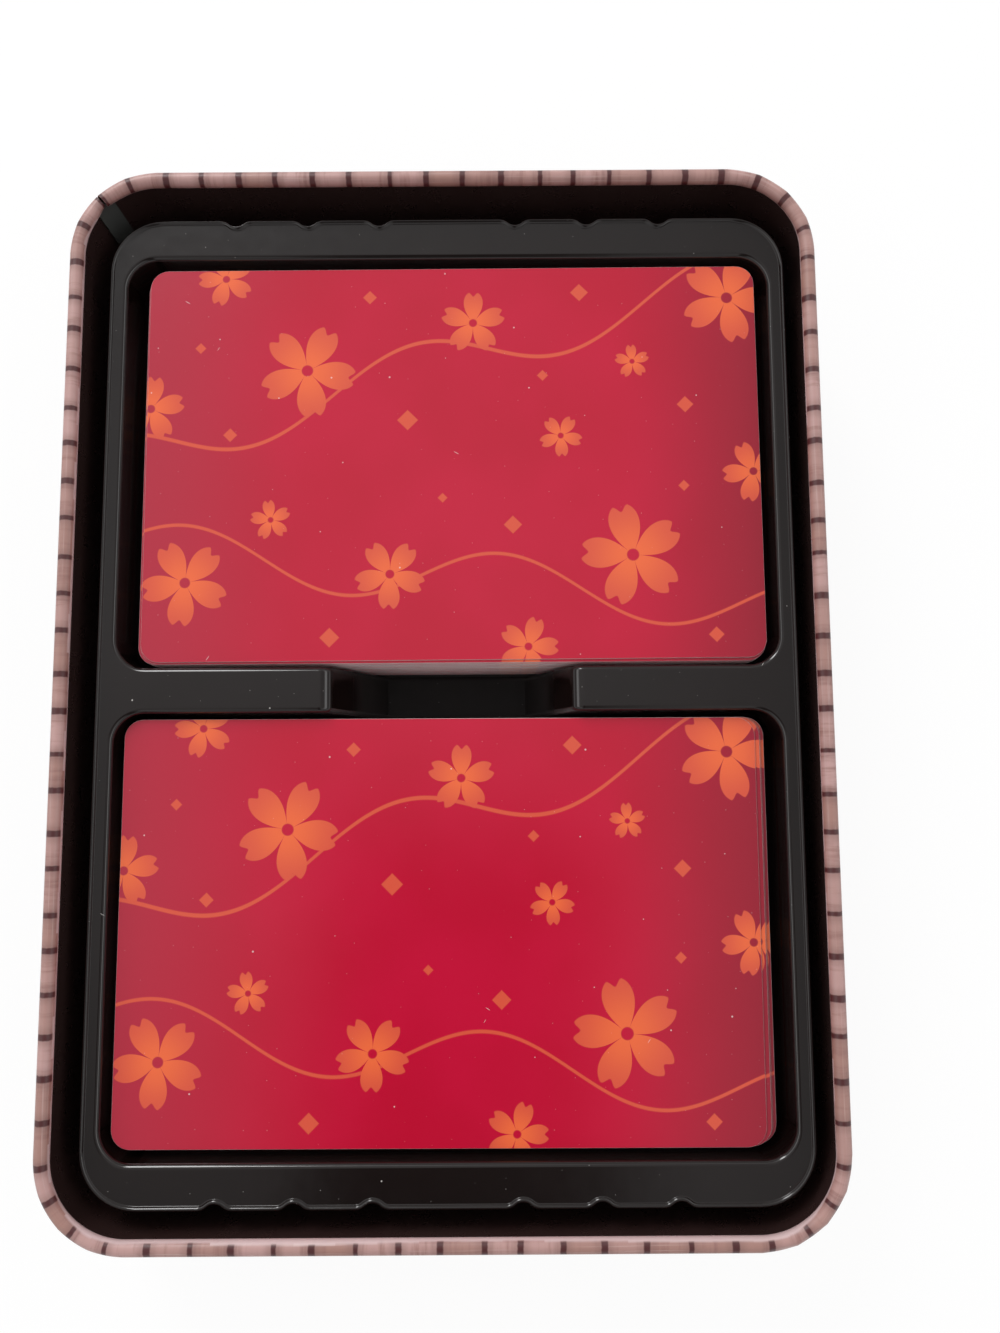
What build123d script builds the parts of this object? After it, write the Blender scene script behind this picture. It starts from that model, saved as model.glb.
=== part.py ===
"""An open card game tin: a slip-lid tin with a black moulded insert that holds two stacks of cards.

Millimetres, +Z up. The tin stands in its own lid, which lies turned over under it, and the origin is
the middle of the lid's face on the table. X runs along a card's long side, Y from one stack to the other.
The sizes are worked out from a card outwards: card, pocket, insert, rim, wall, lid.
"""
import math
import os

from build123d import *

# Cards
CARD_LENGTH = 88.0
CARD_WIDTH = 57.6
CARD_THICKNESS = 0.3
CARD_CORNER = 2.6
UPPER_CARDS = 54
LOWER_CARDS = 52
LOOSE_CARDS = 8
CARD_SCATTER_X = 0.2
CARD_SCATTER_Y = 0.05
UPPER_STACK_SHIFT = (0.5, -0.55)
LOWER_STACK_SHIFT = (0.5, 0.15)
UPPER_TOP_SHIFT = (0.25, 0.43)
LOWER_TOP_SHIFT = (-1.54, 0.0)
UPPER_TOP_TURN = 0.15
LOWER_TOP_TURN = -0.12
UPPER_DRIFT_POWER = 8
LOWER_DRIFT_POWER = 2

# Moulded insert
TRAY_SHIFT_X = 0.44
TRAY_SHIFT_Y = -0.54
POCKET_PLAY_X = 4.65
POCKET_PLAY_Y = 2.1
CORNER_EASE = 1.6
POCKET_DRAFT = 0.5
DIVIDER_WIDTH = 6.3
LEDGE_SIDE = 2.425
LEDGE_END = 5.775
LEDGE_CORNER = 7.6
LEDGE_ROUND = 0.7
LIP_WIDTH = 0.6
LIP_HEIGHT = 0.36
LIP_RUN = 0.18
LIP_ROUND = 0.2
LIP_EASE = 0.14
CARD_SINK = 1.1
TRAY_SHEET = 0.45
SKIRT_DRAFT = 1.0
NOTCH_WIDTH = 34.0
NOTCH_FOOT = 21.3
NOTCH_OFFSET = 0.55
NOTCH_ROUND = 2.2
FLUTE_FIRST = 9.9
FLUTE_PITCH = 10.4
FLUTES_PER_GROUP = 3
FLUTE_RADIUS = 1.5
FLUTE_DEPTH = 0.85
FLUTE_SHOULDER = 1.9

# Tin and lid
TIN_SHEET = 0.28
TRAY_GAP_X = 1.75
TRAY_GAP_Y = 2.375
TRAY_LIFT_CLEARANCE = 0.5
TIN_CORNER = 12.0
CURL_RADIUS = 1.0
RIM_ABOVE_LEDGE = 5.0
FOLD_RADIUS = 0.8
HOOK_WIDTH = 3.4
PANEL_FLANGE = 3.0
PANEL_PLAY = 0.1
PANEL_STEP = 0.9
SEAM_WIDTH = 3.2
SEAM_THICKNESS = 0.4
SEAM_GAP = 0.8
LID_DEPTH = 11.0
LID_CLEARANCE = 0.3
LID_HEM = 3.0
LID_FOLD = 1.2

# Places worked out from the sizes above
TIN_FOOT = TIN_SHEET
PANEL_FOOT = TIN_FOOT + TIN_SHEET
PANEL_TOP = PANEL_FOOT + PANEL_STEP + TIN_SHEET
POCKET_FLOOR = PANEL_TOP + TRAY_SHEET
LEDGE = POCKET_FLOOR + UPPER_CARDS * CARD_THICKNESS + CARD_SINK
RIM_TOP = LEDGE + RIM_ABOVE_LEDGE
POCKET_LENGTH = CARD_LENGTH + POCKET_PLAY_X
POCKET_WIDTH = CARD_WIDTH + POCKET_PLAY_Y
POCKET_CORNER = CARD_CORNER + CORNER_EASE
POCKET_PLACE = (DIVIDER_WIDTH + POCKET_WIDTH) / 2
POCKET_NARROWING = (LEDGE - POCKET_FLOOR) * math.tan(math.radians(POCKET_DRAFT))
TRAY_PLACE = Pos(TRAY_SHIFT_X, TRAY_SHIFT_Y, 0)
TRAY_WIDTH = POCKET_LENGTH + 2 * LEDGE_SIDE
TRAY_LENGTH = DIVIDER_WIDTH + 2 * POCKET_WIDTH + 2 * LEDGE_END
MOUTH_WIDTH = TRAY_WIDTH + 2 * TRAY_GAP_X
MOUTH_LENGTH = TRAY_LENGTH + 2 * TRAY_GAP_Y
MOUTH_CORNER = TIN_CORNER - 2 * CURL_RADIUS
TIN_WIDTH = MOUTH_WIDTH + 4 * CURL_RADIUS
TIN_LENGTH = MOUTH_LENGTH + 4 * CURL_RADIUS
LID_GROWTH = LID_CLEARANCE + 2 * TIN_SHEET

# A sheet-metal section lies in this plane: its x runs inwards from the outer face, its y runs up
SECTION_PLANE = Plane(origin=(0, 0, 0), x_dir=(-1, 0, 0), z_dir=(0, 1, 0))
DOWN = (0, 0, -1)
SEAM_DIRECTION = 135


def strip(x, y, width, height):
    """A straight stretch of a sheet-metal section, from its lower left corner."""
    return Pos(x, y) * Rectangle(width, height, align=(Align.MIN, Align.MIN))


def fold(radius):
    """The quarter bend of a section between a wall and a floor, with its outer radius."""
    bend = Circle(radius) - Circle(radius - TIN_SHEET)
    quarter = Rectangle(radius, radius, align=(Align.MAX, Align.MAX))
    return Pos(radius, radius) * (bend & quarter)


def turned(section, radius, angle):
    """A section turned about Z, with its outer face at the given radius, over an angle centred on +X."""
    return Rot(0, 0, -angle / 2) * revolve(SECTION_PLANE * Pos(-radius, 0) * section, Axis.Z, angle)


def carried_round(section, width, length, corner):
    """A section carried round a rounded rectangle: four straight sides and four turned corners."""
    pieces = []
    bend = turned(section, corner, 90)
    for side in range(4):
        across, along = (width, length) if side % 2 == 0 else (length, width)
        straight = along - 2 * corner
        turn = Rot(0, 0, 90 * side)
        bar = extrude(SECTION_PLANE * section, straight)
        pieces.append(turn * Pos(across / 2, -straight / 2, 0) * bar)
        pieces.append(turn * Pos(across / 2 - corner, along / 2 - corner, 0) * Rot(0, 0, 45) * bend)
    return pieces[0].fuse(*pieces[1:])


def plate(width, length, corner, bottom, thickness):
    """A flat sheet with rounded corners."""
    return Pos(0, 0, bottom) * extrude(RectangleRounded(width, length, corner), thickness)


def make_lid():
    """The slip lid, turned over: face down, its skirt up round the tin and hemmed inwards at the edge."""
    width = TIN_WIDTH + 2 * LID_GROWTH
    length = TIN_LENGTH + 2 * LID_GROWTH
    corner = TIN_CORNER + LID_GROWTH
    skirt = strip(0, LID_FOLD, TIN_SHEET, LID_DEPTH - LID_FOLD)
    hem = strip(TIN_SHEET, LID_DEPTH - LID_HEM, TIN_SHEET, LID_HEM)
    face = plate(width - 2 * LID_FOLD, length - 2 * LID_FOLD, corner - LID_FOLD, 0, TIN_SHEET)
    return carried_round(fold(LID_FOLD) + skirt + hem, width, length, corner) + face


def make_tin_wall():
    """The tin's wall: one strip of sheet, its top edge curled inwards, its foot hooked under the bottom panel.

    The ends of the strip are locked together in one corner. The lock shows inside as a flat band, and the
    curl is slit there.
    """
    height = RIM_TOP - TIN_FOOT
    curl_height = height - CURL_RADIUS
    curl = Circle(CURL_RADIUS) - Circle(CURL_RADIUS - TIN_SHEET)
    curl -= Rectangle(CURL_RADIUS, CURL_RADIUS, align=(Align.MAX, Align.MAX))
    hook = strip(FOLD_RADIUS, 0, HOOK_WIDTH - FOLD_RADIUS, TIN_SHEET)
    side = strip(0, FOLD_RADIUS, TIN_SHEET, curl_height - FOLD_RADIUS)
    section = fold(FOLD_RADIUS) + hook + side + Pos(CURL_RADIUS, curl_height) * curl
    wall = carried_round(section, TIN_WIDTH, TIN_LENGTH, TIN_CORNER)

    lock = strip(TIN_SHEET, FOLD_RADIUS, SEAM_THICKNESS, curl_height - CURL_RADIUS - FOLD_RADIUS)
    slit = strip(TIN_SHEET, curl_height - 2 * CURL_RADIUS, 3 * CURL_RADIUS, 4 * CURL_RADIUS)
    corner = Pos(TIN_CORNER - TIN_WIDTH / 2, TIN_LENGTH / 2 - TIN_CORNER, 0) * Rot(0, 0, SEAM_DIRECTION)
    wall += corner * turned(lock, TIN_CORNER, math.degrees(SEAM_WIDTH / TIN_CORNER))
    wall -= corner * turned(slit, TIN_CORNER, math.degrees(SEAM_GAP / TIN_CORNER))
    return Pos(0, 0, TIN_FOOT) * wall


def make_bottom_panel():
    """The tin's bottom: a pressed panel whose flange lies on the wall's hook, with its middle raised."""
    inset = FOLD_RADIUS + PANEL_PLAY
    width = TIN_WIDTH - 2 * inset
    length = TIN_LENGTH - 2 * inset
    corner = TIN_CORNER - inset
    flange = strip(0, 0, PANEL_FLANGE, TIN_SHEET)
    riser = strip(PANEL_FLANGE - TIN_SHEET, 0, TIN_SHEET, PANEL_STEP + TIN_SHEET)
    border = carried_round(flange + riser, width, length, corner)
    middle = plate(
        width - 2 * PANEL_FLANGE, length - 2 * PANEL_FLANGE, corner - PANEL_FLANGE, PANEL_STEP, TIN_SHEET
    )
    return Pos(0, 0, PANEL_FOOT) * (border + middle)


def flute():
    """One flute as it is cut from an edge along y = 0: a round groove with rounded shoulders beside it."""
    reach = FLUTE_RADIUS + FLUTE_SHOULDER
    rise = reach - FLUTE_DEPTH
    spread = math.sqrt(reach**2 - rise**2)
    meeting = FLUTE_RADIUS - FLUTE_DEPTH - rise * FLUTE_RADIUS / reach
    mouth = Pos(0, meeting) * Rectangle(2 * spread, FLUTE_DEPTH, align=(Align.CENTER, Align.MIN))
    for side in (-1, 1):
        mouth -= Pos(side * spread, -FLUTE_SHOULDER) * Circle(FLUTE_SHOULDER)
    return mouth + Pos(0, FLUTE_RADIUS - FLUTE_DEPTH) * Circle(FLUTE_RADIUS)


def ledge_outline():
    """The insert's ledge from above: a rounded rectangle with two groups of flutes along each end."""
    outline = RectangleRounded(TRAY_WIDTH, TRAY_LENGTH, LEDGE_CORNER)
    for end in (-1, 1):
        turn = Rot(0, 0, 90 - 90 * end)
        for side in (-1, 1):
            for place in range(FLUTES_PER_GROUP):
                x = side * (FLUTE_FIRST + place * FLUTE_PITCH)
                outline -= turn * Pos(x, TRAY_LENGTH / 2) * flute()
    return outline


def tray_block(skin, top):
    """The insert's drafted block, drawn in by a skin, from its top down to a skin below its foot."""
    outline = offset(ledge_outline(), -skin)
    return extrude(Pos(0, 0, top) * outline, top - PANEL_TOP + skin, dir=DOWN, taper=-SKIRT_DRAFT)


def lipped_block():
    """The insert's outer block: a low lip stands round the ledge, and its inner side slopes down to it."""
    field = Pos(0, 0, LEDGE) * offset(ledge_outline(), -LIP_WIDTH)
    slope = math.degrees(math.atan2(LIP_RUN, LIP_HEIGHT))
    return tray_block(0, LEDGE + LIP_HEIGHT) - extrude(field, LIP_HEIGHT, taper=-slope)


def notch_section(skin):
    """The finger notch from the near side, drawn in by a skin: sloping walls that round over into the ledge."""
    floor = POCKET_FLOOR - skin
    ledge = LEDGE - skin
    half_foot = NOTCH_FOOT / 2 + skin
    half_mouth = NOTCH_WIDTH / 2 + skin
    corners = [(-half_foot, floor), (half_foot, floor), (half_mouth, ledge), (-half_mouth, ledge)]
    span = Pos(0, floor) * Rectangle(2 * NOTCH_WIDTH, ledge - floor, align=(Align.CENTER, Align.MIN))
    bars = span - Polygon(*corners, align=None)
    bar_ends = bars.vertices().group_by(Axis.Y)[-1].sort_by(lambda corner: abs(corner.X))[:2]
    return span - fillet(bar_ends, NOTCH_ROUND - skin)


def ledge_face(form, skin):
    """The largest face of a form at the ledge's level, drawn in by a skin."""
    level = form.faces().filter_by(Plane.XY).group_by(lambda face: abs(face.center().Z - LEDGE + skin))[0]
    return level.sort_by(SortBy.AREA)[-1]


def hollowed(form, skin):
    """A block with two pockets and a finger notch cut in it, drawn in by a skin, and their edges rounded."""
    floor = POCKET_FLOOR - skin
    pocket = RectangleRounded(POCKET_LENGTH + 2 * skin, POCKET_WIDTH + 2 * skin, POCKET_CORNER + skin)
    for side in (-1, 1):
        mouth = Pos(0, side * POCKET_PLACE, LEDGE) * pocket
        form -= extrude(mouth, LEDGE - floor, dir=DOWN, taper=POCKET_DRAFT)
    notch = Plane.XZ * Pos(NOTCH_OFFSET, 0) * notch_section(skin)
    form -= extrude(notch, DIVIDER_WIDTH / 2 + POCKET_NARROWING, both=True)

    def beside_pocket(edge):
        """False for the two lines across the divider, where the ledge runs smoothly into the notch."""
        return abs(edge.center().Y) > DIVIDER_WIDTH / 4 or abs(edge.center().X) > NOTCH_WIDTH

    pocket_edges = ledge_face(form, skin).inner_wires()[0].edges().filter_by(beside_pocket)
    return fillet(pocket_edges, LEDGE_ROUND - skin)


def make_insert_tray():
    """The moulded insert: a thin skin over its form, with a trimmed flange that just passes the tin's mouth."""
    outside = hollowed(lipped_block(), 0)
    outside = fillet(ledge_face(outside, 0).outer_wire().edges(), LIP_EASE)
    lip = outside.faces().sort_by(Axis.Z)[-1]
    outside = fillet(lip.outer_wire().edges(), LIP_ROUND)
    inside = hollowed(tray_block(TRAY_SHEET, LEDGE - TRAY_SHEET), TRAY_SHEET)
    flange = plate(
        MOUTH_WIDTH - 2 * (TRAY_LIFT_CLEARANCE + abs(TRAY_SHIFT_X)),
        MOUTH_LENGTH - 2 * (TRAY_LIFT_CLEARANCE + abs(TRAY_SHIFT_Y)),
        MOUTH_CORNER - TRAY_LIFT_CLEARANCE,
        PANEL_TOP,
        TRAY_SHEET,
    )
    return TRAY_PLACE * (outside - inside + (flange - tray_block(0, LEDGE)))


def make_stack(count, place, top_shift, top_turn, drift_power):
    """One stack, from the bottom card to the top one. The loose cards on top drift off the stack's line.

    The drift grows as a power of a loose card's place in them, so a high power moves little but the top card.
    The cards below scatter a little round the line, each turned on by the golden angle from the last.
    """
    blank = extrude(RectangleRounded(CARD_LENGTH, CARD_WIDTH, CARD_CORNER), CARD_THICKNESS)
    golden_angle = math.pi * (3 - math.sqrt(5))
    cards = []
    for number in range(count):
        drift = (max(0, number + 1 - (count - LOOSE_CARDS)) / LOOSE_CARDS) ** drift_power
        x = place[0] + CARD_SCATTER_X * math.cos(golden_angle * number) + top_shift[0] * drift
        y = place[1] + CARD_SCATTER_Y * math.sin(golden_angle * number) + top_shift[1] * drift
        z = POCKET_FLOOR + number * CARD_THICKNESS
        cards.append(TRAY_PLACE * Pos(x, y, z) * Rot(0, 0, top_turn * drift) * blank)
    return cards


def make_parts():
    """Every piece under its name. Loose cards are numbered from the top card down."""
    parts = {
        "lid": make_lid(),
        "tin_wall": make_tin_wall(),
        "bottom_panel": make_bottom_panel(),
        "insert_tray": make_insert_tray(),
    }
    upper_place = (UPPER_STACK_SHIFT[0], UPPER_STACK_SHIFT[1] + POCKET_PLACE)
    lower_place = (LOWER_STACK_SHIFT[0], LOWER_STACK_SHIFT[1] - POCKET_PLACE)
    stacks = {
        "upper": make_stack(UPPER_CARDS, upper_place, UPPER_TOP_SHIFT, UPPER_TOP_TURN, UPPER_DRIFT_POWER),
        "lower": make_stack(LOWER_CARDS, lower_place, LOWER_TOP_SHIFT, LOWER_TOP_TURN, LOWER_DRIFT_POWER),
    }
    for stack, cards in stacks.items():
        parts[f"{stack}_deck"] = Compound(cards[:-LOOSE_CARDS])
        for number in range(1, LOOSE_CARDS + 1):
            parts[f"{stack}_card_{number:02d}"] = cards[-number]
    return parts


os.makedirs("parts", exist_ok=True)
for name, part in make_parts().items():
    export_step(part, f"parts/{name}.step")
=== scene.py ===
"""The looks of an open card game tin, put on over its solids.

Metres and degrees, +Z up, in the frame of the solids: X runs along a card's long side, Y from one stack of
cards to the other, and the tin stands in its own lid. The sections follow the tin as it is put together.
"""
import math

import bmesh
import bpy
import numpy as np
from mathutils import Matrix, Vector


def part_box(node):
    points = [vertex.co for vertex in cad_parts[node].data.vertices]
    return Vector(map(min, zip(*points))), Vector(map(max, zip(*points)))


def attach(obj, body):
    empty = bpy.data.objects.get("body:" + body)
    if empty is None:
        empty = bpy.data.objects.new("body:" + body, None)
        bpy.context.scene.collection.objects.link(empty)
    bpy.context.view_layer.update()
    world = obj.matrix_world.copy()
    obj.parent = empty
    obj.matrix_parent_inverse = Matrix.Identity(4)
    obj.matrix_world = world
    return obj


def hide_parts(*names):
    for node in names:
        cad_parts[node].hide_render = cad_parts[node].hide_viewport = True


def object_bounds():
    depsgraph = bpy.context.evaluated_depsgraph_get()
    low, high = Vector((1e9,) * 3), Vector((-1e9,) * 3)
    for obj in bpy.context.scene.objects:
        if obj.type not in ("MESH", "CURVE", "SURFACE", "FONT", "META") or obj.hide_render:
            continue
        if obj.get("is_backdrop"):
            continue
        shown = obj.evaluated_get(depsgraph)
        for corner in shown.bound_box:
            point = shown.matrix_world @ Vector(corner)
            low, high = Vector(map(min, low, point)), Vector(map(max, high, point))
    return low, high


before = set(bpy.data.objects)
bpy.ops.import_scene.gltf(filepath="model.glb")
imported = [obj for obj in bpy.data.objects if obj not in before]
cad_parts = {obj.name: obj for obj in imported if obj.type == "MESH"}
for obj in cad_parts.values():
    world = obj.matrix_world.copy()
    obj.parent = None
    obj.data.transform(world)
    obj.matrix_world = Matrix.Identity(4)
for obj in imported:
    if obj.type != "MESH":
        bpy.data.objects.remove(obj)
solid_low, solid_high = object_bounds()
mm = 0.001


# Tin wall
# One strip of tinplate, printed outside with slats and lacquered black inside. Its top edge is rolled
# inwards, its foot is hooked under the bottom panel, and its ends are locked in the far left corner.
wall_low, wall_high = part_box("tin_wall")
sheet = 0.28 * mm
tin_corner = 12.0 * mm
roll_radius = 1.0 * mm
roll_turn = 270
foot_fold = 0.8 * mm
foot_hook = 3.4 * mm
lock_width = 3.2 * mm
lock_thickness = 0.4 * mm
slit_width = 0.35 * mm
slit_opens = 40
pinch_reach = 1.6 * mm
left_pinch = 0.22
right_pinch = 0.08
wrinkles_per_corner = 4
# Shares of the way in to a flat, in the order in which the outline's normal turns, from +X round by +Y.
wrinkle_depths = {"far_right": 0.6, "far_left": 0.4, "near_left": 0.25, "near_right": 1.1}
slat_count = 91
# How far round the roll the dark lines run on each side.
line_ends = {"near": 140, "left": 167, "right": 180, "far": 215}
# The dark lines' drift, half width, frayed edge and shade beside them are in slats.
line_drift = 0.09
thin_line, thick_line = 0.055, 0.090
line_fray = 0.02
line_shade = 0.26
wood_dark = (0.335, 0.180, 0.150, 1)
wood_light = (0.470, 0.285, 0.268, 1)
wood_grain = (0.270, 0.135, 0.118, 1)
wood_streak = (0.500, 0.345, 0.325, 1)
wood_shade = (0.200, 0.105, 0.095, 1)
# Past the lines' ends: the bare margin's colour, painted paler with a painted highlight along the roll.
bare_roll_and_highlight = (0.640, 0.495, 0.495, 1)
line_ink = (0.062, 0.010, 0.011, 1)
lacquer_dark = (0.032, 0.015, 0.014, 1)
lacquer_light = (0.044, 0.024, 0.022, 1)
# The seam's lock is painted a lighter grey-green: a painted sheen on the black lacquer.
sheen_grey_dark = (0.060, 0.062, 0.058, 1)
sheen_grey_light = (0.100, 0.102, 0.097, 1)
tin_dust = (0.40, 0.38, 0.36, 1)
corner_steps = 40
side_steps = 48
foot_points = 7
side_points = 6
roll_points = 28
lock_points = 9
weld_distance = 0.001 * mm
printed, lacquered, painted_sheen = 0, 1, 2


def rounded_outline(half_x, half_y, corner, per_corner, per_side):
    """A rounded rectangle as corner centres and turns of the outward normal, from the middle of a corner.

    The normal turns with each corner's arc and stands still along each side, while the centre stands still
    in a corner and moves along a side. A point is its centre plus the corner radius times the normal.
    """
    arc = np.linspace(0, math.pi / 2, per_corner + 1)
    share = np.linspace(0, 1, per_side + 2)[1:-1, None]
    reach = np.array([half_x - corner, half_y - corner])
    turns, centres = [], []
    for quarter in range(4):
        start = math.pi / 2 * (quarter + 1)
        middle = start + math.pi / 4
        here = reach * np.sign([math.cos(middle), math.sin(middle)])
        after = reach * np.sign([math.cos(middle + math.pi / 2), math.sin(middle + math.pi / 2)])
        turns += [start + arc, np.full(per_side, start + math.pi / 2)]
        centres += [np.tile(here, (per_corner + 1, 1)), here + share * (after - here)]
    half_corner = per_corner // 2
    turns = np.concatenate(turns)
    turns = np.concatenate([turns[half_corner:], turns[:half_corner + 1] + 2 * math.pi])
    centres = np.concatenate(centres)
    return np.concatenate([centres[half_corner:], centres[:half_corner + 1]]), turns[:, None]


def carried(centres, turns, corner, section):
    """A section carried round an outline: each of its points goes in along the normal, and up.

    The section holds insets and heights, which may differ by row, and the turns may differ by column.
    """
    inset, height = np.moveaxis(np.asarray(section), -1, 0)
    x = centres[:, :1] + (corner - inset) * np.cos(turns)
    y = centres[:, 1:] + (corner - inset) * np.sin(turns)
    return np.stack(np.broadcast_arrays(x, y, height), axis=-1)


def run_length(points):
    """The distance along a row of points, from the first to each."""
    steps = np.linalg.norm(np.diff(points, axis=0), axis=-1)
    return np.concatenate([[0], np.cumsum(steps)])


def arc(inset, height, radius, first, last, count):
    """Points of a section along an arc about a centre. Angles are in degrees, and 0 points inwards."""
    angle = np.radians(np.linspace(first, last, count))
    return np.stack([inset + radius * np.cos(angle), height + radius * np.sin(angle)], axis=-1)


def straight(inset, low, high, count):
    """Points of a section up a straight wall, without its two ends."""
    height = np.linspace(low, high, count + 2)[1:-1]
    return np.stack([np.full(count, inset), height], axis=-1)


def swept(grid, along, across, marks, closed=True, capped=()):
    """A patch of a piece, from a grid whose rows follow a path and whose columns follow a section.

    The print's coordinates are the distances along and across, and each column has its finish's mark. A
    closed section joins its last column to its first. Capped columns are joined to their opposites in the
    section's second half, at both ends of the path.
    """
    rows, columns = grid.shape[:2]
    spans = columns if closed else columns - 1
    i, j = np.meshgrid(np.arange(rows - 1), np.arange(spans), indexing="ij")
    corners = [(i, j), (i + 1, j), (i + 1, j + 1), (i, j + 1)]
    faces = np.stack([a * columns + b % columns for a, b in corners], axis=-1).reshape(-1, 4)
    prints = np.stack([np.stack([along[a], across[b]], axis=-1) for a, b in corners], axis=-2).reshape(-1, 2)
    marks = np.asarray(marks)
    face_marks = np.tile(marks[:spans], rows - 1)
    if len(capped):
        j = np.asarray(capped)
        cap = np.stack([j + 1, columns - 2 - j, columns - 1 - j, j], axis=-1)
        faces = np.concatenate([faces, cap, (rows - 1) * columns + cap[:, ::-1]])
        cap_across = np.repeat(across[j], 4)
        ends = [np.stack([np.full(4 * len(j), end), cap_across], axis=-1) for end in along[[0, -1]]]
        prints = np.concatenate([prints, *ends])
        face_marks = np.concatenate([face_marks, marks[j], marks[j]])
    return grid.reshape(-1, 3), faces, prints, face_marks


def finished_piece(name, patches, finishes, sharp_angle=40):
    """An object from patches, with doubles merged, smooth faces, and edges sharp past an angle."""
    points, faces, prints, marks = [], [], [], []
    first = 0
    for patch_points, patch_faces, patch_prints, patch_marks in patches:
        points.append(patch_points)
        faces += (first + np.asarray(patch_faces)).tolist()
        prints.append(patch_prints)
        marks.append(patch_marks)
        first += len(patch_points)
    mesh = bpy.data.meshes.new(name)
    mesh.from_pydata(np.concatenate(points), [], faces)
    mesh.uv_layers.new(name="print").data.foreach_set("uv", np.concatenate(prints).astype(np.float32).ravel())
    mesh.polygons.foreach_set("material_index", np.concatenate(marks).astype(np.int32))
    for finish in finishes:
        mesh.materials.append(finish)
    return smooth_object(name, mesh, sharp_angle)


def smooth_object(name, mesh, sharp_angle):
    """An object of a mesh, as one smooth skin: doubles merged, edges sharp past an angle in degrees."""
    shell = bmesh.new()
    shell.from_mesh(mesh)
    bmesh.ops.remove_doubles(shell, verts=shell.verts, dist=weld_distance)
    shell.to_mesh(mesh)
    shell.free()
    mesh.polygons.foreach_set("use_smooth", np.ones(len(mesh.polygons), bool))
    mesh.set_sharp_from_angle(angle=math.radians(sharp_angle))
    piece = bpy.data.objects.new(name, mesh)
    bpy.context.scene.collection.objects.link(piece)
    return piece


class Nodes:
    """The nodes of a material or a world. Each call adds one and hands back its output socket."""

    def __init__(self, owner):
        owner.use_nodes = True
        self.tree = owner.node_tree

    def feed(self, socket, value):
        """Link a socket to an input, or set the input to a plain value."""
        if isinstance(value, bpy.types.NodeSocket):
            self.tree.links.new(value, socket)
        else:
            socket.default_value = value

    def add(self, kind, *values, output=0, **settings):
        """A node with its first inputs fed in order. None leaves an input as it is."""
        made = self.tree.nodes.new(kind)
        for name, value in settings.items():
            setattr(made, name, value)
        for socket, value in zip(made.inputs, values):
            if value is not None:
                self.feed(socket, value)
        return made.outputs[output]

    def math(self, operation, *values):
        """One operation on plain numbers, by its name."""
        return self.add("ShaderNodeMath", *values, operation=operation)

    def product(self, first, *others):
        """All the values multiplied together."""
        for other in others:
            first = self.math("MULTIPLY", first, other)
        return first

    def vector(self, operation, *values):
        """One operation on vectors, by its name. A length, distance or dot product is a plain number."""
        output = "Value" if operation in ("LENGTH", "DISTANCE", "DOT_PRODUCT") else "Vector"
        return self.add("ShaderNodeVectorMath", *values, output=output, operation=operation)

    def parts(self, vector):
        """The x, y and z of a vector."""
        return self.add("ShaderNodeSeparateXYZ", vector).node.outputs[:]

    def step(self, value, low, high):
        """0 below low, 1 above high and smooth in between. With low above high it falls instead."""
        return self.add("ShaderNodeMapRange", value, low, high, interpolation_type="SMOOTHSTEP")

    def spread(self, value, low, high):
        """A value from 0 to 1 spread from low to high."""
        return self.add("ShaderNodeMapRange", value, 0.0, 1.0, low, high)

    def noise(self, vector, scale, detail=2.0, roughness=0.5):
        """Cloudy noise from 0 to 1, finer with the scale."""
        return self.add("ShaderNodeTexNoise", vector, None, scale, detail, roughness)

    def chance(self, number):
        """A random value from 0 to 1 for each number."""
        return self.add("ShaderNodeTexWhiteNoise", None, number, noise_dimensions="1D")

    def blend(self, share, under, over):
        """One colour over another by a share."""
        made = self.add("ShaderNodeMix", share, data_type="RGBA").node
        self.feed(made.inputs[6], under)
        self.feed(made.inputs[7], over)
        return made.outputs[2]


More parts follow.
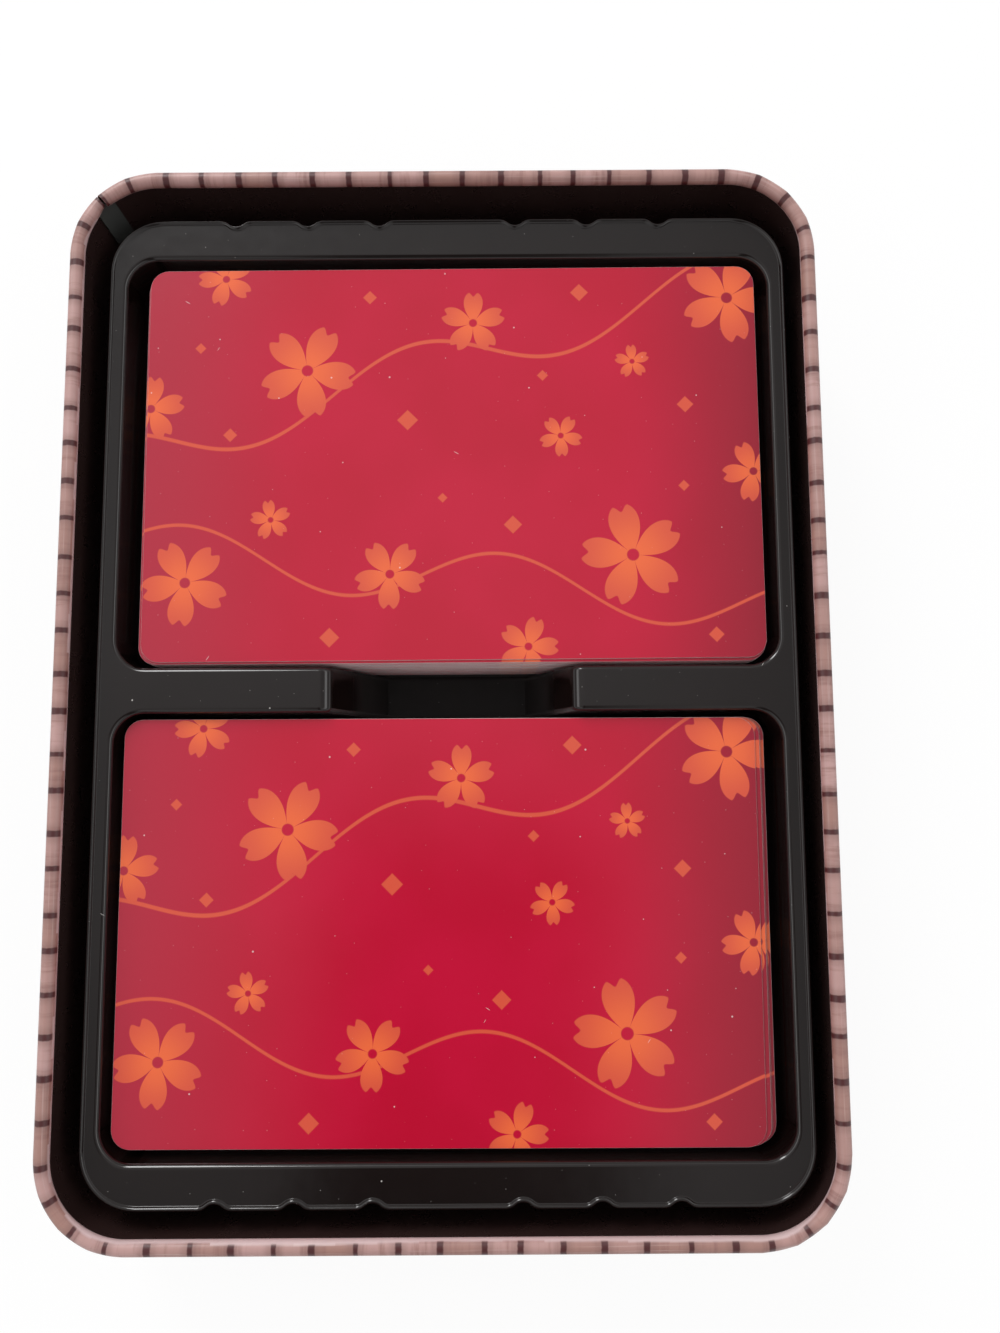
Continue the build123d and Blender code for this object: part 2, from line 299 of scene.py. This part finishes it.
class Finish(Nodes):
    """A material, with its shader's inputs set by name."""

    def __init__(self, name):
        self.material = bpy.data.materials.new(name)
        super().__init__(self.material)
        self.shader = self.tree.nodes["Principled BSDF"]

    def place(self):
        """The point on the piece, in metres."""
        return self.add("ShaderNodeTexCoord", output="Object")

    def bump(self, height, distance, strength=1.0):
        """Normals of a height from 0 to 1 that stands for a real distance."""
        made = self.tree.nodes.new("ShaderNodeBump")
        made.inputs["Strength"].default_value = strength
        made.inputs["Distance"].default_value = distance
        self.feed(made.inputs["Height"], height)
        self.feed(self.shader.inputs["Normal"], made.outputs[0])

    def dots(self, place, spacing, size, share):
        """1 on dots in a share of the cells of a random net on the XY plane, and 0 off them."""
        cells = self.add("ShaderNodeTexVoronoi", place, None, 1 / spacing, voronoi_dimensions="2D").node
        luck, luck_too, _ = self.parts(cells.outputs["Color"])
        radius = self.spread(luck_too, 0.3 * size / spacing, size / spacing)
        off = self.math("SUBTRACT", cells.outputs["Distance"], radius)
        dot = self.step(off, 0.15 * size / spacing, -0.15 * size / spacing)
        return self.product(dot, self.math("LESS_THAN", luck, share))

    def dust(self, place):
        """Specks, fainter grit and short fibres, which are drawn-out dots, on what faces up."""
        specks = self.dots(place, spacing=9.0 * mm, size=0.13 * mm, share=0.4)
        grit = self.dots(place, spacing=3.5 * mm, size=0.06 * mm, share=0.5)
        settled = self.math("MAXIMUM", specks, self.product(grit, 0.5))
        for turn in (0.6, 2.1):
            turned = self.add("ShaderNodeVectorRotate", place, None, None, turn, rotation_type="Z_AXIS")
            drawn = self.vector("MULTIPLY", turned, (1.0, 0.10, 1.0))
            fibres = self.dots(drawn, spacing=5.0 * mm, size=0.05 * mm, share=0.06)
            settled = self.math("MAXIMUM", settled, fibres)
        facing = self.parts(self.add("ShaderNodeNewGeometry", output="Normal"))[2]
        return self.product(settled, self.step(facing, 0.6, 0.95))

    def set(self, **values):
        """Values or sockets for the shader's inputs, whose names are written with underscores."""
        for name, value in values.items():
            self.feed(self.shader.inputs[name.replace("_", " ")], value)
        return self.material


def slat_print(slat, roll_start):
    """The outside print: slats between dark lines, under a clear satin varnish.

    The print's own coordinates run along the strip and up the section. Line number n stands at n slats,
    moved a little by chance. It ends on the roll, further round on the far side than on the near side, and
    past the lines' ends the roll is paler: partly the bare margin's own colour, partly a painted highlight
    along the roll.
    """
    finish = Finish("slat_print")
    uv = finish.add("ShaderNodeUVMap", uv_map="print")
    along, up, _ = finish.parts(uv)
    x, y, _ = finish.parts(finish.place())
    count = finish.math("DIVIDE", along, slat)
    line = finish.math("ROUND", count)
    drift = finish.spread(finish.chance(line), -line_drift, line_drift)
    away = finish.math("ABSOLUTE", finish.math("SUBTRACT", finish.math("SUBTRACT", count, line), drift))
    half_line = finish.spread(finish.chance(finish.math("ADD", line, 0.37)), thin_line, thick_line)
    fray = finish.spread(finish.noise(uv, 1500, 3.0), -line_fray, line_fray)
    beyond = finish.math("SUBTRACT", finish.math("ADD", away, fray), half_line)

    ends = {side: roll_start + roll_radius * math.radians(turn) for side, turn in line_ends.items()}
    line_end = ends["near"]
    sides = (("left", x, -wall_high.x), ("right", x, wall_high.x), ("far", y, wall_high.y))
    for side, across, reach in sides:
        begins, full = 0.86 * reach, 0.95 * reach
        line_end = finish.add("ShaderNodeMapRange", across, begins, full, line_end, ends[side])
    ragged = finish.spread(finish.chance(finish.math("ADD", line, 0.71)), -0.25 * mm, 0.25 * mm)
    above = finish.math("SUBTRACT", finish.math("SUBTRACT", up, line_end), ragged)
    below = finish.step(above, 0.2 * mm, -0.2 * mm)
    ink = finish.product(finish.step(beyond, line_fray, -line_fray), below)
    shade = finish.product(finish.step(beyond, line_shade, 0.0), below, 0.45)

    slat_number = finish.math("FLOOR", finish.math("SUBTRACT", count, drift))
    tint = finish.chance(finish.math("ADD", slat_number, 0.19))
    grain = finish.noise(finish.vector("MULTIPLY", uv, (900.0, 90.0, 1.0)), 1.0, 4.0, 0.6)
    streaks = finish.noise(finish.vector("MULTIPLY", uv, (50.0, 3000.0, 1.0)), 1.0, 2.0)
    wood = finish.blend(tint, wood_dark, wood_light)
    wood = finish.blend(finish.step(grain, 0.46, 0.74), wood, wood_grain)
    wood = finish.blend(finish.step(streaks, 0.55, 0.85), wood, wood_streak)
    # Past the lines' ends the roll takes the bare margin's colour, with a painted highlight in it.
    wood = finish.blend(finish.spread(below, 0.85, 0.0), wood, bare_roll_and_highlight)
    wood = finish.blend(shade, wood, wood_shade)
    colour = finish.blend(ink, wood, line_ink)
    finish.bump(finish.noise(uv, 700, 3.0), 0.02 * mm, 0.5)
    roughness = finish.spread(finish.noise(uv, 1200, 2.0), 0.38, 0.55)
    return finish.set(Base_Color=colour, Roughness=roughness, Coat_Weight=0.05, Coat_Roughness=0.15)


def lacquer(name, dark, light, smooth, rough):
    """Baked lacquer, a little wavy, between two colours and two roughnesses, with dust on what faces up."""
    finish = Finish(name)
    place = finish.place()
    dust = finish.dust(place)
    colour = finish.blend(finish.noise(place, 90, 3.0), dark, light)
    colour = finish.blend(dust, colour, tin_dust)
    finish.bump(finish.noise(place, 260, 2.0), 0.05 * mm, 0.35)
    roughness = finish.spread(finish.noise(place, 600, 3.0), smooth, rough)
    return finish.set(Base_Color=colour, Roughness=roughness)


def wall_line(skin):
    """One face of the wall's section, from the hook's end to the roll's end, at a depth in the sheet."""
    return np.concatenate([
        [(foot_hook, wall_low.z + skin)],
        arc(foot_fold, wall_low.z + foot_fold, foot_fold - skin, 270, 180, foot_points),
        straight(skin, wall_low.z + foot_fold, wall_high.z - roll_radius, side_points),
        arc(roll_radius, wall_high.z - roll_radius, roll_radius - skin, 180, 180 - roll_turn, roll_points),
    ])


def wall_patches(centres, turns, along, section, across):
    """The wall with its roll, slit in the seam corner, and the seam's lock inside.

    The slit opens over the first part of the roll. In each corner the roll's outer side is wrinkled into
    flats: an arc's point moves in to the chord between two wrinkles. The roll is pinched beside the slit.
    """
    half = len(section) // 2
    roll_first = half - roll_points
    roll_angle = np.concatenate([np.zeros(roll_first), np.linspace(0, roll_turn, roll_points)])
    roll_angle = np.concatenate([roll_angle, roll_angle[::-1]])
    opening = np.clip(roll_angle / slit_opens, 0, 1)
    slit = np.zeros((len(along), 1))
    slit[[0, -1], 0] = slit_width / 2 / tin_corner * np.array([1, -1])

    flat = math.pi / 2 / wrinkles_per_corner
    from_wrinkle = np.abs((turns + flat / 2) % flat - flat / 2)
    to_chord = tin_corner * (1 - math.cos(flat / 2) / np.cos(flat / 2 - from_wrinkle))
    depths = np.array(list(wrinkle_depths.values()))
    wrinkle_depth = depths[np.floor(turns / (math.pi / 2)).astype(int) % 4]
    outer_share = np.clip(1 - section[:, 0] / (2 * roll_radius), 0, 1)
    left_share = left_pinch * np.exp(-(along / pinch_reach) ** 2)
    right_share = right_pinch * np.exp(-((along[-1] - along) / pinch_reach) ** 2)
    keep = 1 - np.maximum(left_share, right_share)[:, None] * opening
    inset = section[:, 0] * keep + wrinkle_depth * np.maximum(to_chord, 0) * outer_share * opening
    roll_height = wall_high.z - roll_radius
    height = np.where(roll_angle > 0, roll_height + (section[:, 1] - roll_height) * keep, section[:, 1])
    wall = carried(centres, turns + slit * opening, tin_corner, np.stack([inset, height], axis=-1))
    marks = np.repeat([printed, lacquered], half)
    yield swept(wall, along, across, marks, capped=np.arange(roll_first, half - 1))

    # The lock takes the lighter grey-green finish, which is a painted sheen.
    half_lock = lock_width / 2 / tin_corner
    lock_turns = turns[0] + np.linspace(-half_lock, half_lock, lock_points)[:, None]
    front = sheet + lock_thickness
    foot, top = wall_low.z + foot_fold, roll_height - roll_radius
    lock_section = [(sheet, foot), (sheet, top), (front, top), (front, foot)]
    lock = carried(centres[:1], lock_turns, tin_corner, lock_section)
    lock_along = np.linspace(0, lock_width, lock_points)
    yield swept(lock, lock_along, np.zeros(5), np.full(4, painted_sheen), capped=[0])


wall_centres, wall_turns = rounded_outline(wall_high.x, wall_high.y, tin_corner, corner_steps, side_steps)
wall_along = run_length(carried(wall_centres, wall_turns, tin_corner, [(0, 0)])[:, 0])
wall_section = np.concatenate([wall_line(0), wall_line(sheet)[::-1]])
wall_across = run_length(np.concatenate([wall_section, wall_section[:1]]))
roll_start = wall_across[len(wall_section) // 2 - roll_points]
slat_finish = slat_print(wall_along[-1] / slat_count, roll_start)
lacquer_finish = lacquer("black_lacquer", lacquer_dark, lacquer_light, smooth=0.22, rough=0.36)
# The lock's lighter grey-green finish is a painted sheen.
painted_sheen_finish = lacquer("painted_sheen_lacquer", sheen_grey_dark, sheen_grey_light, smooth=0.30, rough=0.45)
tin_wall = finished_piece(
    "printed_wall",
    wall_patches(wall_centres, wall_turns, wall_along, wall_section, wall_across),
    [slat_finish, lacquer_finish, painted_sheen_finish],
)
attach(tin_wall, "base")
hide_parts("tin_wall")


# Bottom panel
# A pressed panel of the same tinplate, lacquered black on both sides. Its flange lies on the wall's hook
# and its raised middle carries the insert.
bottom_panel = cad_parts["bottom_panel"]
bottom_panel.data.materials.clear()
bottom_panel.data.materials.append(lacquer_finish)


# Insert
# One sheet of gloss black plastic, vacuum formed over a mould: two pockets for the cards, a divider with a
# finger notch, a ledge all round and flutes that stiffen both ends of the skirt. It stands loose in the tin.
crease_angle = 32
dull_from = 15 * mm
dullest_at = 8 * mm
plastic_dark = (0.0045, 0.0018, 0.0015, 1)
plastic_light = (0.0070, 0.0034, 0.0030, 1)
plastic_dust = (0.42, 0.40, 0.38, 1)


def black_plastic():
    """Gloss black sheet plastic, drawn a little wavy, duller down in the pockets, with dust on its flats."""
    finish = Finish("black_plastic")
    place = finish.place()
    dust = finish.dust(place)
    height = finish.parts(place)[2]
    colour = finish.blend(finish.noise(place, 120, 3.0), plastic_dark, plastic_light)
    colour = finish.blend(dust, colour, plastic_dust)
    finish.bump(finish.noise(place, 170, 2.0), 0.06 * mm, 0.4)
    gloss = finish.spread(finish.noise(place, 420, 3.0), 0.09, 0.17)
    depth = finish.product(finish.step(height, dull_from, dullest_at), 0.60)
    return finish.set(Base_Color=colour, Roughness=finish.math("ADD", gloss, depth))


def formed_skin(name, node, finish, sharp_angle):
    """A smooth copy of a solid's mesh, with its corner normals led by the larger faces."""
    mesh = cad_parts[node].data.copy()
    mesh.materials.clear()
    mesh.materials.append(finish)
    piece = smooth_object(name, mesh, sharp_angle)
    weighted = piece.modifiers.new("even_faces", "WEIGHTED_NORMAL")
    weighted.keep_sharp = True
    return piece


insert = formed_skin("formed_insert", "insert_tray", black_plastic(), crease_angle)
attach(insert, "tray")
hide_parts("insert_tray")


# Cards
# Two stacks of coated card stock with a linen finish, die cut with round corners. The backs, which lie
# upwards, are crimson with orange blossoms, diamonds and two wavy lines. The top eight of each are loose.
top_low, top_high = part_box("upper_card_08")
card_length = 88.0 * mm
card_width = 57.6 * mm
card_thickness = top_high.z - top_low.z
card_corner = 2.6 * mm
card_edge = 0.03 * mm
card_gap = 0.004 * mm
card_corner_steps = 8
loose_cards = 8
crimson_dark = (0.462, 0.0018, 0.026, 1)
crimson_light = (0.502, 0.0030, 0.034, 1)
# Painted shade for the cards' right ends, and a painted greyish haze of reflection for their left ends.
painted_shade_crimson = (0.300, 0.0085, 0.026, 1)
painted_haze_crimson = (0.410, 0.0180, 0.042, 1)
frame_crimson = (0.42, 0.006, 0.028, 1)
motif_orange = (0.640, 0.085, 0.045, 1)
glow_orange = (0.780, 0.135, 0.045, 1)
card_dust = (0.80, 0.70, 0.70, 1)
stock_dark = (0.46, 0.41, 0.41, 1)
stock_light = (0.68, 0.62, 0.62, 1)
paper_dark = (0.76, 0.71, 0.62, 1)
paper_light = (0.82, 0.78, 0.70, 1)
# The print is laid out in millimetres from the card's middle. A blossom has its place across and up, its
# radius and its turn, a diamond its place and size, and a wave its height, slope, swing, lead and half its
# line's width. A nick's reach, a wave's lead and the waves' rate for each millimetre are in radians.
frame_inset = 4.5
linen_pitch = 0.45
print_blur = 0.1
petal_count = 5
eye_share = 0.1
nick_reach = 0.16
nick_depth = 0.16
wave_rate = 0.14
blossoms = (
    (-21.0, 13.5, 7.2, 10),
    (25.5, -14.0, 7.6, 40),
    (-38.0, -17.5, 6.4, 25),
    (40.0, 24.0, 7.0, 5),
    (3.0, 20.5, 4.8, 55),
    (-9.0, -16.5, 5.2, 20),
    (43.0, -2.0, 4.6, 30),
    (-43.5, 8.0, 5.0, 60),
    (15.5, 3.5, 3.2, 15),
    (-26.0, -8.5, 3.0, 45),
    (10.5, -27.0, 4.4, 0),
    (-33.0, 27.5, 4.2, 35),
    (26.0, 14.5, 2.6, 50),
)
diamonds = (
    (-6.5, 6.0, 1.5),
    (33.5, 8.0, 1.2),
    (-32.0, 4.0, 1.0),
    (8.5, -9.5, 1.3),
    (-17.5, -25.5, 1.4),
    (-12.0, 24.5, 1.0),
    (18.5, 25.0, 1.3),
    (37.0, -25.5, 1.1),
    (-1.5, -5.5, 0.7),
    (13.0, 12.5, 0.8),
    (-36.5, 17.0, 0.8),
    (33.0, -4.0, 0.8),
)
waves = (
    (15.0, 0.30, 4.0, 2.4, 0.28),
    (-17.0, -0.10, 4.0, 0.6, 0.24),
)
back, edge, face = 0, 1, 2


class CardPrint(Finish):
    """A card's print, in millimetres from the card's middle, with soft-edged masks for its motifs."""

    def __init__(self, name):
        super().__init__(name)
        self.uv = self.vector("SCALE", self.add("ShaderNodeUVMap", uv_map="print"))
        self.uv.node.inputs["Scale"].default_value = 1 / mm
        self.x, self.y, _ = self.parts(self.uv)

    def blossom(self, across, up, radius, turn):
        """Five petals and an eye, and a glow that fades from the middle outwards.

        The edge lies at the radius times the root of the cosine of half the petal count times the angle from
        the nearest petal's axis, with a nick at each tip. The eye is a share of the radius.
        """
        away = self.vector("SUBTRACT", self.uv, (across, up, 0.0))
        x, y, _ = self.parts(away)
        distance = self.vector("LENGTH", away)
        angle = self.math("ADD", self.math("ARCTAN2", y, x), math.radians(turn))
        petal = self.math("PINGPONG", angle, math.pi / petal_count)
        lobe = self.math("POWER", self.math("COSINE", self.product(petal, petal_count / 2)), 0.5)
        nick = self.spread(self.step(petal, 0.0, nick_reach), 1 - nick_depth, 1.0)
        inwards = self.math("SUBTRACT", self.product(lobe, nick, radius), distance)
        inside = self.step(inwards, -print_blur, print_blur)
        eye_radius = eye_share * radius
        shape = self.product(inside, self.step(distance, eye_radius, eye_radius + 2 * print_blur))
        return shape, self.product(shape, self.step(distance, radius, eye_radius))

    def diamond(self, across, up, size):
        """Where |x| + |y| is under the size."""
        x, y, _ = self.parts(self.vector("ABSOLUTE", self.vector("SUBTRACT", self.uv, (across, up, 0.0))))
        return self.step(self.math("ADD", x, y), size + print_blur, size - print_blur)

    def wave(self, height, slope, swing, lead, half_line):
        """A line that follows a sine about a slope. The sine's angle grows with x by the wave's rate."""
        bend = self.math("SINE", self.math("ADD", self.product(self.x, wave_rate), lead))
        line = self.math("ADD", self.product(self.x, slope), self.product(bend, swing))
        off = self.math("ABSOLUTE", self.math("SUBTRACT", self.math("SUBTRACT", self.y, line), height))
        return self.step(off, half_line + print_blur, half_line - print_blur)

    def largest(self, masks):
        """The largest of several masks at each point."""
        first, *others = masks
        for other in others:
            first = self.math("MAXIMUM", first, other)
        return first


def card_back():
    """The crimson back, with orange motifs, linen grain and a little dust. Its right end holds painted shade,
    its left end a painted haze of reflection.
    """
    finish = CardPrint("card_back")
    flowers = [finish.blossom(*blossom) for blossom in blossoms]
    small = [finish.diamond(*diamond) for diamond in diamonds] + [finish.wave(*wave) for wave in waves]
    motif = finish.largest([shape for shape, glow in flowers] + small)
    warm = finish.largest([glow for shape, glow in flowers])
    cloud = finish.step(finish.noise(finish.uv, 0.05, 2.0), 0.3, 0.7)
    ground = finish.blend(cloud, crimson_dark, crimson_light)
    # Painted shade towards the right end, and a painted haze of reflection towards the left end.
    right_painted_shade = finish.step(finish.x, 22.0, 46.0)
    ground = finish.blend(right_painted_shade, ground, painted_shade_crimson)
    left_painted_haze = finish.step(finish.x, -18.0, -46.0)
    ground = finish.blend(left_painted_haze, ground, painted_haze_crimson)
    colour = finish.blend(motif, ground, finish.blend(warm, motif_orange, glow_orange))
    dust = finish.product(finish.dust(finish.place()), 0.55)
    colour = finish.blend(dust, colour, card_dust)
    thread_rate = 2 * math.pi / linen_pitch
    threads = [finish.math("SINE", finish.product(way, thread_rate)) for way in (finish.x, finish.y)]
    finish.bump(finish.spread(finish.product(*threads), 0.45, 0.55), 0.012 * mm, 1.0)
    roughness = finish.spread(finish.noise(finish.uv, 0.9, 3.0), 0.11, 0.18)
    return finish.set(Base_Color=colour, Roughness=roughness)


def card_stock():
    """The cut edge of the stock: greyish fibres in fine layers."""
    finish = Finish("card_edge")
    layers = finish.noise(finish.vector("MULTIPLY", finish.place(), (400.0, 400.0, 9000.0)), 1.0, 3.0)
    colour = finish.blend(layers, stock_dark, stock_light)
    return finish.set(Base_Color=colour, Roughness=0.75)


def card_face():
    """The face side: warm white coated stock inside a thin crimson frame."""
    finish = CardPrint("card_face")
    x, y, _ = finish.parts(finish.vector("ABSOLUTE", finish.uv))
    past_end = finish.math("SUBTRACT", x, card_length / 2 / mm - frame_inset)
    past_side = finish.math("SUBTRACT", y, card_width / 2 / mm - frame_inset)
    outwards = finish.math("MAXIMUM", past_end, past_side)
    frame_line = finish.step(finish.math("ABSOLUTE", outwards), 0.45, 0.35)
    paper = finish.blend(finish.noise(finish.uv, 0.4, 3.0), paper_dark, paper_light)
    return finish.set(Base_Color=finish.blend(frame_line, paper, frame_crimson), Roughness=0.32)


def card_places(node, count):
    """Each card's middle, turn and foot, from its own share of a node's points.

    The turn is that of the long axis of the points' spread about their middle.
    """
    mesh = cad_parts[node].data
    points = np.empty(3 * len(mesh.vertices), np.float32)
    mesh.vertices.foreach_get("co", points)
    points = points.astype(float).reshape(count, -1, 3)
    middle = (points.min(axis=1) + points.max(axis=1)) / 2
    flat = points[:, :, :2] - middle[:, None, :2]
    spread = np.einsum("cpi,cpj->cij", flat, flat)
    long_way = np.linalg.eigh(spread)[1][:, :, 1]
    turn = np.arctan2(long_way[:, 1], long_way[:, 0])
    turn = (turn + math.pi / 2) % math.pi - math.pi / 2
    return zip(middle[:, :2], turn, points[:, :, 2].min(axis=1))


def card_patches(node, count):
    """Cards as slabs: a rounded outline carried up the card's eased edge, with flat faces on both sides.

    Each stops a hair short of the card above it, so that no two faces lie in one plane.
    """
    centres, turns = rounded_outline(card_length / 2, card_width / 2, card_corner, card_corner_steps, 0)
    inset = np.array([card_edge, 0, 0, card_edge])
    top = card_thickness - card_gap
    level = np.array([0, card_edge, top - card_edge, top])
    blank = carried(centres, turns, card_corner, np.stack([inset, level], axis=-1))
    ring = len(blank) - 1
    for middle, turn, foot in card_places(node, count):
        cosine, sine = math.cos(turn), math.sin(turn)
        turned = blank[..., :2] @ np.array([(cosine, sine), (-sine, cosine)])
        card = np.concatenate([turned + middle, blank[..., 2:] + foot], axis=-1)
        yield swept(card, np.zeros(len(card)), level, np.full(4, edge), closed=False)
        yield card[:ring, 0], [np.arange(ring)[::-1]], blank[:ring, 0, :2][::-1], [face]
        yield card[:ring, 3], [np.arange(ring)], blank[:ring, 3, :2], [back]


card_finishes = [card_back(), card_stock(), card_face()]
for stack in ("upper", "lower"):
    deck_low, deck_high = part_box(f"{stack}_deck")
    deck_count = round((deck_high.z - deck_low.z) / card_thickness)
    loose = {f"{stack}_card_{number:02d}": 1 for number in range(1, loose_cards + 1)}
    for node, count in {f"{stack}_deck": deck_count, **loose}.items():
        cards = finished_piece(f"{node}_printed", card_patches(node, count), card_finishes)
        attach(cards, node)
        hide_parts(node)


# Lid
# A slip lid of the same printed tinplate, turned over under the tin, so its face lies on the table and its
# skirt stands round the foot of the wall. Its edge is hemmed inwards.
lid_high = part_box("lid")[1]
lid_corner = tin_corner + lid_high.x - wall_high.x
lid_fold = 1.2 * mm
lid_hem = 3.0 * mm
fold_points = 9


def lid_patches():
    """The lid's skirt with its hem, carried round the outline, and its face, flat on both sides.

    The skirt's section starts and ends where the face's flat begins. The slats run straight on across the
    face, so there the print's distance along is x.
    """
    centres, turns = rounded_outline(lid_high.x, lid_high.y, lid_corner, corner_steps, side_steps)
    along = run_length(carried(centres, turns, lid_corner, [(0, 0)])[:, 0])
    top = lid_high.z
    outer = np.concatenate([
        arc(lid_fold, lid_fold, lid_fold, 270, 180, fold_points),
        arc(sheet, top - sheet, sheet, 180, 0, fold_points),
    ])
    inner = np.concatenate([
        [(2 * sheet, top - lid_hem), (sheet, top - lid_hem)],
        arc(lid_fold, lid_fold, lid_fold - sheet, 180, 270, fold_points),
    ])
    section = np.concatenate([outer, inner])
    skirt = carried(centres, turns, lid_corner, section)
    marks = np.repeat([printed, lacquered], [len(outer) - 1, len(inner) + 1])
    yield swept(skirt, along, run_length(section), marks, closed=False)
    ring = len(skirt) - 1
    for column, order, mark in ((0, -1, printed), (-1, 1, lacquered)):
        edge_loop = skirt[:ring, column][::order]
        yield edge_loop, [np.arange(ring)], edge_loop[:, :2] * (1, 0), [mark]


lid = finished_piece("slip_lid", lid_patches(), [slat_finish, lacquer_finish])
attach(lid, "lid")
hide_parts("lid")


# Floor, light and camera
# A plain white table in a bright room with one window at the far left. The photographer leans over the
# tin, so straight above and on the near side the room is darker. The camera looks almost straight down.
floor_reach = 3.0
floor_drop = 0.1 * mm
floor_glow = 0.92
ceiling_level = 0.62
wall_level = 0.38
shape_level = 0.22
# Where the room changes, in the x, y or z of a direction, from no effect to the full one.
band_rise = (0.48, 0.62)
ceiling_rise = (0.72, 0.80)
backdrop_fall = (0.40, 0.25)
shape_left = (-0.20, -0.15)
shape_right = (0.18, 0.05)
shape_far = (0.04, -0.12)
window_place = (-0.36, 0.76, 0.62)
window_width = 0.22
window_height = 0.46
window_power = 4.2
camera_lens = 27.0
camera_place = (7.71 * mm, -12.3 * mm, 157.7 * mm)
camera_turn = (6.111, 0.025, -0.375)


def white_floor():
    """White for the camera and in reflections, with a share of real white paint that keeps the shadow."""
    finish = Finish("white_floor")
    finish.set(Base_Color=(0.9, 0.9, 0.9, 1), Roughness=0.9)
    path = finish.add("ShaderNodeLightPath").node
    seen = finish.math("MAXIMUM", path.outputs["Is Camera Ray"], path.outputs["Is Glossy Ray"])
    seen = finish.math("MAXIMUM", seen, path.outputs["Is Transmission Ray"])
    glow = finish.add("ShaderNodeEmission", (1, 1, 1, 1), 1.0)
    share = finish.product(seen, floor_glow)
    mixed = finish.add("ShaderNodeMixShader", share, finish.shader.outputs[0], glow)
    finish.feed(finish.tree.nodes["Material Output"].inputs["Surface"], mixed)
    return finish.material


floor_mesh = bpy.data.meshes.new("floor")
floor_corners = floor_reach * np.array([(-1, -1, 0), (1, -1, 0), (1, 1, 0), (-1, 1, 0)], float)
floor_mesh.from_pydata(floor_corners - (0, 0, floor_drop), [], [(0, 1, 2, 3)])
floor_mesh.materials.append(white_floor())
floor = bpy.data.objects.new("floor", floor_mesh)
bpy.context.scene.collection.objects.link(floor)
floor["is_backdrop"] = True


def room_light():
    """White all round for the camera, and low down in reflections. For the rest, a room by its directions.

    Overhead is a grey ceiling, brighter on the far side and dimmer at the near left and on the right. Under
    it runs a brighter band, which grows with the square of x and is brightest above the window. Below that
    the walls are dim. The photographer's dark shape reaches from straight above to the near side.
    """
    world = bpy.data.worlds.new("room")
    room = Nodes(world)
    direction = room.add("ShaderNodeTexCoord", output="Generated")
    x, y, z = room.parts(direction)
    far = room.product(room.step(y, -0.02, 0.16), room.spread(room.step(x, -0.10, 0.25), 0.15, 0.04))
    by_window = room.step(room.vector("DISTANCE", direction, (-0.28, 0.55, 0.79)), 0.45, 0.10)
    near_left = room.product(room.step(y, -0.10, -0.30), room.step(x, 0.10, -0.10))
    right = room.step(x, 0.12, 0.28)
    dimmer = room.math("ADD", room.product(near_left, 0.18), room.product(right, 0.12))
    ceiling = room.math("SUBTRACT", room.math("ADD", far, ceiling_level), dimmer)
    band = room.math("ADD", room.product(x, x, 3.4), room.spread(room.step(y, -0.2, 0.5), 0.80, 1.05))
    band = room.math("ADD", band, room.product(by_window, 1.5))
    level = wall_level
    for rise, above in ((band_rise, band), (ceiling_rise, ceiling)):
        level = room.add("ShaderNodeMapRange", z, *rise, level, above, interpolation_type="SMOOTHSTEP")
    shape = room.product(room.step(x, *shape_left), room.step(x, *shape_right), room.step(y, *shape_far))
    level = room.product(level, room.spread(shape, 1.0, shape_level))
    path = room.add("ShaderNodeLightPath").node
    mirrored = room.math("MAXIMUM", path.outputs["Is Glossy Ray"], path.outputs["Is Transmission Ray"])
    low_down = room.product(mirrored, room.step(z, *backdrop_fall))
    backdrop = room.math("MAXIMUM", path.outputs["Is Camera Ray"], low_down)
    background = room.tree.nodes["Background"]
    room.feed(background.inputs["Color"], (1, 1, 1, 1))
    room.feed(background.inputs["Strength"], room.math("MAXIMUM", level, backdrop))
    bpy.context.scene.world = world


def soft_box(name, place, width, height, power):
    """An upright area lamp at a place, turned towards the tin."""
    lamp = bpy.data.lights.new(name, "AREA")
    lamp.shape = "RECTANGLE"
    lamp.size = width
    lamp.size_y = height
    lamp.energy = power
    holder = bpy.data.objects.new(name, lamp)
    holder.location = place
    holder.rotation_euler = (-Vector(place)).to_track_quat("-Z", "Y").to_euler()
    bpy.context.scene.collection.objects.link(holder)


room_light()
soft_box("far_window", window_place, window_width, window_height, window_power)

camera_data = bpy.data.cameras.new("camera")
camera_data.lens = camera_lens
camera_data.sensor_width = 36.0
camera_data.clip_start = 10 * mm
camera = bpy.data.objects.new("camera", camera_data)
camera.location = camera_place
camera.rotation_euler = [math.radians(turn) for turn in camera_turn]
bpy.context.scene.collection.objects.link(camera)
bpy.context.scene.camera = camera
bpy.context.scene.view_settings.view_transform = "Standard"

shown_low, shown_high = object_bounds()
boxes = {"cad": (solid_low, solid_high), "visual": (shown_low, shown_high)}
{name: [list(low), list(high)] for name, (low, high) in boxes.items()}
